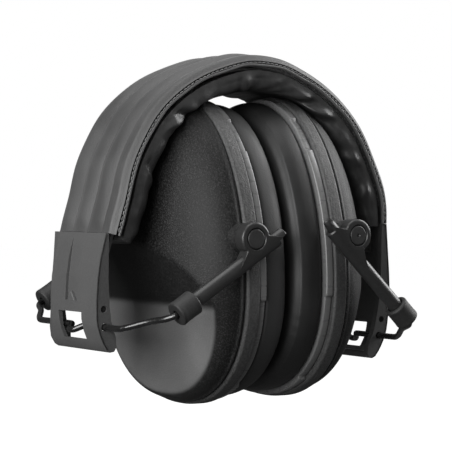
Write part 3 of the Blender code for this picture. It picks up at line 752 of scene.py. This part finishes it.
def make_collar(side, end):
    """Rubber grip collar: a turned ring with rounded shoulders and a shallow waist."""
    place = leg_place(side)
    name = f"{SIDE_NAME[side]}_{END_NAME[end]}_collar"
    start = place(COLLAR_START, LEG_DROP, end * ARM_Y)
    along = place(COLLAR_END, LEG_DROP, end * ARM_Y) - start
    length = COLLAR_END - COLLAR_START
    corners = ((0.0, BORE_R), (0.0, COLLAR_R - 0.35), (0.55, COLLAR_R), (2.2, COLLAR_R - 0.12),
               (length - 2.0, COLLAR_R - 0.12), (length - 0.5, COLLAR_R), (length, COLLAR_R - 0.7),
               (length, TUBE_R + 0.3), (length - 3.0, TUBE_R + 0.25), (length - 3.0, BORE_R + 0.1))
    profile = rounded(corners, 0.5, 5)
    obj = surface(name + "_soft", f"{SIDE_NAME[side]}_arms", COLLAR, turned_points(profile, start, along, 44),
                  wrap_rows=True, sharp=60, stands_for=(name,))


def make_pin(side, end):
    """Flat-headed pivot pin in a ring-shaped gap. The right side's pins have a dimple at the centre."""
    place = leg_place(side)
    name = f"{SIDE_NAME[side]}_{END_NAME[end]}_pivot_pin"
    start = place(PIN_ALONG, PIN_ACROSS, end * EAR_IN)
    head = EAR_OUT - EAR_IN
    flat = ((head - 0.05, 0.9), (head - 0.06, 0.5), (head - 0.06, 0.02))
    dimple = ((head - 0.08, 0.72), (head - 0.5, 0.42), (head - 0.55, 0.02))
    profile = ((-4.0, 0.02), (-4.0, 1.8), (head - 1.45, 1.8), (head - 1.45, PIN_HEAD_R - 0.1),
               (head - 0.35, PIN_HEAD_R - 0.02), (head - 0.12, PIN_HEAD_R - 0.1), (head - 0.02, 3.1),
               (head, 2.7))
    profile += dimple if side > 0 else flat
    obj = surface(name + "_turned", f"{SIDE_NAME[side]}_arms", PIN,
                  turned_points(profile, start, (0, end, 0), 48), sharp=50, stands_for=(name,))


# ---------------------------------------------------------------- ear cups

def outline(turn, offset):
    """The cup's egg-shaped outline: an ellipse above its widest line and a squarer one below it."""
    c, s = np.cos(turn), np.sin(turn)
    power = np.where(s >= 0, 2.0, CUP_LOWER_POWER)
    tall = np.where(s >= 0, CUP_UPPER, CUP_LOWER)
    y = (CUP_HALF_WIDTH + offset) * np.sign(c) * np.abs(c) ** (2 / power)
    h = CUP_WIDE_Z + (tall + offset) * np.sign(s) * np.abs(s) ** (2 / power)
    return y, h


def cup_place(side):
    """Maps (inboard depth, sideways, height on the cup) to the world for one side."""
    pin = leg_place(side)(PIN_ALONG, PIN_ACROSS, 0.0) / MM
    return lambda u, y, h: stack(pin[0] - side * u, y, pin[2] + h - PIN_HEIGHT) * MM


def ring_grid(side, profile, segments=200):
    """Carries a (depth, offset from the outline) profile round the cup."""
    profile = np.asarray(profile, float)
    turn = np.linspace(0, 2 * math.pi, segments, endpoint=False)[None]
    y, h = outline(turn, profile[:, 1:])
    return cup_place(side)(profile[:, :1], y, h)


def dome_depth(h, share):
    """The shell's depth: a soft dome cut by a flat lower face and a slanted step above it. With it comes
    how far each point belongs to the flat face, from 0 to 1."""
    dome = DOME_DEPTH * np.maximum(0.0, 1.0 - share ** 2.2) ** 0.5
    step = FACE_DEPTH + soft_plus(h - FACE_TOP, 0.7) * STEP_SLOPE - soft_plus(FACE_TOP - h, 0.7) * 0.08
    width = 0.7 + 2.6 * smooth((FACE_TOP + 3.0 - h) / 14.0)
    on_face = smooth((FACE_TOP - h) / 3.0 + 0.4) * smooth((dome - step) / 2.0)
    return soft_min(dome, step, width), on_face


def make_shell(side):
    """Outer shell: rings of the outline shrunk towards its middle and raised by the dome, with a lip bead."""
    name = f"{SIDE_NAME[side]}_cup_shell"
    place = cup_place(side)
    turn = np.linspace(0, 2 * math.pi, 240, endpoint=False)[None]
    share = np.sin(np.linspace(0.01, 1.0, 130) * math.asin(0.9965))[:, None]
    y, h = outline(turn, 0.0)
    ys, hs = y * share, CUP_MIDDLE_Z + (h - CUP_MIDDLE_Z) * share
    depth, on_face = dome_depth(hs, share + 0 * hs)
    outer = place(-np.maximum(1.0, depth), ys, hs)
    bead = np.array(LIP_BEAD)
    by, bh = outline(turn, bead[:, 1:])
    lip = place(bead[:, :1], by, bh)
    inner_share = np.array((0.95, 0.88, 0.7, 0.45, 0.12))[:, None]
    iy, ih = outline(turn, -SHELL_WALL)
    iy, ih = iy * inner_share, CUP_MIDDLE_Z + (ih - CUP_MIDDLE_Z) * inner_share
    depth = np.maximum(0.4, dome_depth(ih, inner_share + 0 * ih)[0] - SHELL_WALL)
    inner = place(-depth, iy, ih)
    obj = surface(name + "_dome", f"{SIDE_NAME[side]}_cup", SHELL[side], np.concatenate([outer, lip, inner]),
                  sharp=32, stands_for=(name,))
    # The lower_face attribute marks the flat lower face, which the finish paints lighter, partly as painted
    # light.
    share_of_face = np.zeros(len(obj.data.vertices), np.float32)
    share_of_face[:on_face.size] = on_face.ravel()
    obj.data.attributes.new("lower_face", "FLOAT", "POINT").data.foreach_set("value", share_of_face)
    for end in (-1, 1):
        start = place(0.0, end * BOSS_START, PIN_HEIGHT)
        reach = EAR_IN - 0.3 - BOSS_START
        profile = ((0.0, 6.6), (1.6, BOSS_R + 0.5), (2.4, BOSS_R), (reach - 0.7, BOSS_R),
                   (reach - 0.2, BOSS_R - 0.2), (reach, BOSS_R - 0.7), (reach, 2.1))
        boss = surface(f"{SIDE_NAME[side]}_{END_NAME[end]}_pivot_boss", f"{SIDE_NAME[side]}_cup", SHELL[side],
                       turned_points(profile, start, (0, end, 0), 48), sharp=40)


def make_rim(side):
    """Spark-textured rim ring between the shell's lip and the cushion's plate."""
    corners = ((0.3, -6.5), (0.3, 0.6), (1.1, 1.4), (RIM_END - 0.6, 1.4), (RIM_END, 0.8), (RIM_END, -6.5))
    grid = ring_grid(side, rounded(corners, 0.45, 5))
    name = f"{SIDE_NAME[side]}_rim_ring"
    obj = surface(name + "_sparked", f"{SIDE_NAME[side]}_cup", RIM, grid, wrap_rows=True, sharp=60,
                  stands_for=(name,))


def make_plate(side):
    """Backing plate: its edge steps in over two spans of each side, below and above the middle."""
    low, high = RIM_END + 0.3, PLATE_END
    profile = rounded(((low, -13.0), (low, 0.5), (high - 0.3, 0.5), (high, 0.1), (high, -13.0)), 0.25, 4)
    turn = np.linspace(0, 2 * math.pi, 720, endpoint=False)[None]
    h0 = outline(turn, 0.0)[1]
    drop = sum(far * smooth((h0 - a) / 0.5) * smooth((b - h0) / 0.5) for a, b, far in PLATE_STEPS)
    offset = profile[:, 1:] - drop * smooth((profile[:, 1:] + 4.0) / 2.0)
    y, h = outline(turn, offset)
    grid = cup_place(side)(profile[:, :1], y, h)
    name = f"{SIDE_NAME[side]}_cushion_plate"
    obj = surface(name + "_stepped", f"{SIDE_NAME[side]}_cup", PLATE, grid, wrap_rows=True, sharp=38,
                  stands_for=(name,))


def make_cushion(side):
    """Ear cushion: a rounded face and a flatter side wall, a sewn seam between them, and small puckers
    that fade away from the seam: a sine round the ring times a bell across it."""
    low = PLATE_END + 0.3
    corners = ((low, -16.0), (low, -4.0), (low + 0.5, -1.7), (low + 2.0, -0.9), (low + 5.6, -1.05),
               (low + 8.6, -2.1), (low + 9.6, -3.0), (CUSHION_END - 0.75, -5.0), (CUSHION_END, -9.0),
               (CUSHION_END - 0.7, -13.2), (low + 8.0, -17.6), (low + 3.6, -20.2), (low + 0.6, -19.8))
    profile = catmull(corners, np.linspace(0, len(corners), 110, endpoint=False), closed=True)
    turn = np.linspace(0, 2 * math.pi, 360, endpoint=False)[None]
    from_seam = profile - (low + 9.15, -2.6)
    seam = np.exp(-((from_seam / (0.35, 2.0)) ** 2).sum(1))[:, None]
    near = np.exp(-((from_seam / (2.6, 3.5)) ** 2).sum(1))[:, None]
    inner = np.exp(-((profile[:, 1] + 18.5) / 3.0) ** 2)[:, None]
    pucker = (np.sin(turn * 57 + 2 * np.sin(turn * 5)) * (0.6 + 0.4 * np.sin(turn * 11 + 1))) * near * 0.10
    pucker = pucker + np.sin(turn * 31 + 3 * np.sin(turn * 3)) * inner * 0.16
    slow = 0.12 * np.sin(turn * 3 + 0.7) + 0.08 * np.sin(turn * 7 + 2.1)
    y, h = outline(turn, profile[:, 1:] - 0.12 * seam + pucker * 0.5)
    u = profile[:, :1] - 0.10 * seam + slow * smooth((profile[:, :1] - low) / 6.0) * 0.5
    u = np.minimum(u, CUSHION_END + 0.1)
    name = f"{SIDE_NAME[side]}_ear_cushion"
    obj = surface(name + "_padded", f"{SIDE_NAME[side]}_cup", CUSHION[side], cup_place(side)(u, y, h),
                  wrap_rows=True, sharp=80, stands_for=(name,))
    back = cup_place(side)(low, 0.0, PIN_HEIGHT)
    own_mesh(obj)


# ---------------------------------------------------------------- band ends

def refined_copy(node_name, new_name, finish, radius):
    """A merged copy of a frame node whose flat faces are joined, with its edges rounded and evenly shaded."""
    source = frame["nodes"][node_name]
    mesh = source.data.copy()
    work = bmesh.new()
    work.from_mesh(mesh)
    bmesh.ops.remove_doubles(work, verts=work.verts, dist=2e-6)
    bmesh.ops.dissolve_limit(work, angle_limit=math.radians(1.0), verts=work.verts, edges=work.edges)
    work.to_mesh(mesh)
    work.free()
    mesh.materials.clear()
    mesh.materials.append(finish)
    obj = bpy.data.objects.new(new_name, mesh)
    bpy.context.scene.collection.objects.link(obj)
    edge = obj.modifiers.new("round_edges", "BEVEL")
    edge.width = radius
    edge.segments = 3
    edge.limit_method = "ANGLE"
    edge.angle_limit = math.radians(38)
    even = obj.modifiers.new("even_shading", "WEIGHTED_NORMAL")
    even.keep_sharp = True
    mesh.shade_smooth()
    mesh.set_sharp_from_angle(angle=math.radians(40))
    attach(obj, source["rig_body"])
    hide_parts(node_name)


def make_band_end(side):
    """The moulded end; a near-black line of painted shadow where its front wall meets the plate; near-black
    plugs of painted shadow at the bottoms of its small blind holes; and the raised three-cornered mark low on
    its outer face."""
    name = SIDE_NAME[side]
    refined_copy(f"{name}_band_end", f"{name}_band_end_rounded", BAND_END, 0.00028)
    edge = (END_LINE_TOP[side],) + END_LINE
    line = catmull(edge, np.linspace(0, len(edge) - 1, 140))
    # A thin near-black tube along the front wall's edge: painted shadow.
    path = stand(side * (line[:, 0] - 0.35), END_LINE_Y, line[:, 1])
    obj = surface(f"{name}_front_end_painted_shadow_line", "band", PAINTED_SHADOW, tube_points(path, 0.26 * MM, 8))
    for end in (-1, 1):
        # Near-black plugs at the bottoms of the blind holes: painted shadow.
        plug = turned_points(((-0.6, 0.0), (-0.6, 1.15), (0.0, 1.15), (0.0, 0.0)),
                             stand(side * HOLE_X, HOLE_BOTTOM_Y[end], HOLE_Z), (0, 1, 0), 24)
        obj = surface(f"{name}_{END_NAME[end]}_hole_painted_shadow", "band", PAINTED_SHADOW, plug, sharp=40)
    corner = np.array(MARK_CORNERS)
    inset = corner * 0.80 + corner.mean(0) * 0.20
    rows = [stand(side * lift + 0 * ring[:, 0], ring[:, 0], ring[:, 1])
            for lift, ring in ((61.4, corner), (62.7, corner), (62.9, inset))]
    mark = surface(f"{name}_end_raised_mark", "band", BAND_END, np.stack(rows), sharp=30)


# ---------------------------------------------------------------- everything

def give(node_name, finish):
    """A frame node keeps its shape and takes a finish."""
    mesh = frame["nodes"][node_name].data
    mesh.materials.clear()
    mesh.materials.append(finish)


def make_all():
    """Every visible piece, and finishes for the inner ones that keep their own shape."""
    make_cover()
    make_piping()
    make_liner()
    for side in (-1, 1):
        make_yoke(side)
        make_band_end(side)
        for end in (-1, 1):
            make_arm(side, end)
            make_collar(side, end)
            make_pin(side, end)
        make_shell(side)
        make_rim(side)
        make_plate(side)
        make_cushion(side)
        give(f"{SIDE_NAME[side]}_foam_absorber", FOAM)
        give(f"{SIDE_NAME[side]}_foam_screen", FOAM)
    give("headband_pad", PAD_FOAM)
    give("headband_spring", SPRING)


def make_camera():
    """Looks from the front left and very slightly upwards. Its place and turn are worked out in the band's
    own frame and then leaned and shifted with the band."""
    far, turn, rise, roll = 683.4, math.radians(33.29), math.radians(-1.04), math.radians(-3.09)
    shift_x, shift_y, height = -0.159, -37.46, 26.8
    ca, sa, ce, se = math.cos(turn), math.sin(turn), math.cos(rise), math.sin(rise)
    right = Vector((ca, -sa, 0))
    ahead = Vector((sa * ce, ca * ce, -se))
    up = right.cross(ahead)
    where = -far * ahead - shift_x * right - shift_y * up + Vector((0, 0, height))
    cr, sr = math.cos(roll), math.sin(roll)
    across, over = cr * right - sr * up, sr * right + cr * up
    columns = Matrix((across, over, -ahead)).transposed().to_4x4()
    columns.translation = where * MM
    lean_matrix = Matrix.Rotation(BAND_TURN, 4, "Y")
    data = bpy.data.cameras.new("camera")
    data.lens = 149.1
    data.sensor_width = 36
    data.clip_start = 0.01
    data.clip_end = 20
    cam = bpy.data.objects.new("camera", data)
    bpy.context.scene.collection.objects.link(cam)
    cam.matrix_world = Matrix.Translation((STAND_X * MM, 0, STAND_Z * MM)) @ lean_matrix @ columns
    bpy.context.scene.camera = cam


def area_light(name, where, target, size, power):
    """A rectangular soft box, in metres and watts, turned towards its target."""
    data = bpy.data.lights.new(name, "AREA")
    data.shape = "RECTANGLE"
    data.size, data.size_y = size
    data.energy = power
    lamp = bpy.data.objects.new(name, data)
    lamp.location = where
    lamp.rotation_euler = (Vector(target) - Vector(where)).to_track_quat("-Z", "Y").to_euler()
    bpy.context.scene.collection.objects.link(lamp)


def make_studio():
    """Pale floor and white surround, dim ambient light, and soft boxes left, right, above and in front."""
    bpy.context.scene.view_settings.view_transform = "Standard"
    world = bpy.data.worlds.new("studio")
    bpy.context.scene.world = world
    world.use_nodes = True
    tree = world.node_tree
    back = tree.nodes["Background"]
    rays = node(tree, "ShaderNodeLightPath")
    level = ramp(tree, rays.outputs["Is Camera Ray"], AMBIENT, 1.0, 0.0, 1.0)
    tree.links.new(level, back.inputs["Strength"])
    back.inputs["Color"].default_value = (1, 1, 1, 1)
    half = 6.0
    corners = [(-half, -half, 0), (half, -half, 0), (half, half, 0), (-half, half, 0)]
    mesh = bpy.data.meshes.new("floor")
    mesh.from_pydata(corners, [], [(0, 1, 2, 3)])
    floor_finish, tree, shader, where = finish_of("floor_paper", Roughness=0.9)
    shader.inputs["Specular IOR Level"].default_value = 0.0
    shader.inputs["Emission Color"].default_value = (1, 1, 1, 1)
    shader.inputs["Emission Strength"].default_value = 0.97
    fibre = noise(tree, where, 900.0, 3.0)
    tree.links.new(mix_colours(tree, fibre, grey(0.30), grey(0.33)), shader.inputs["Base Color"])
    mesh.materials.append(floor_finish)
    floor = bpy.data.objects.new("floor", mesh)
    floor.location.z = cad_box[0][2] - FLOOR_DROP
    floor.visible_diffuse = False
    floor.visible_glossy = False
    bpy.context.scene.collection.objects.link(floor)
    for light in SOFT_BOXES:
        area_light(*light)


make_all()
make_camera()
make_studio()
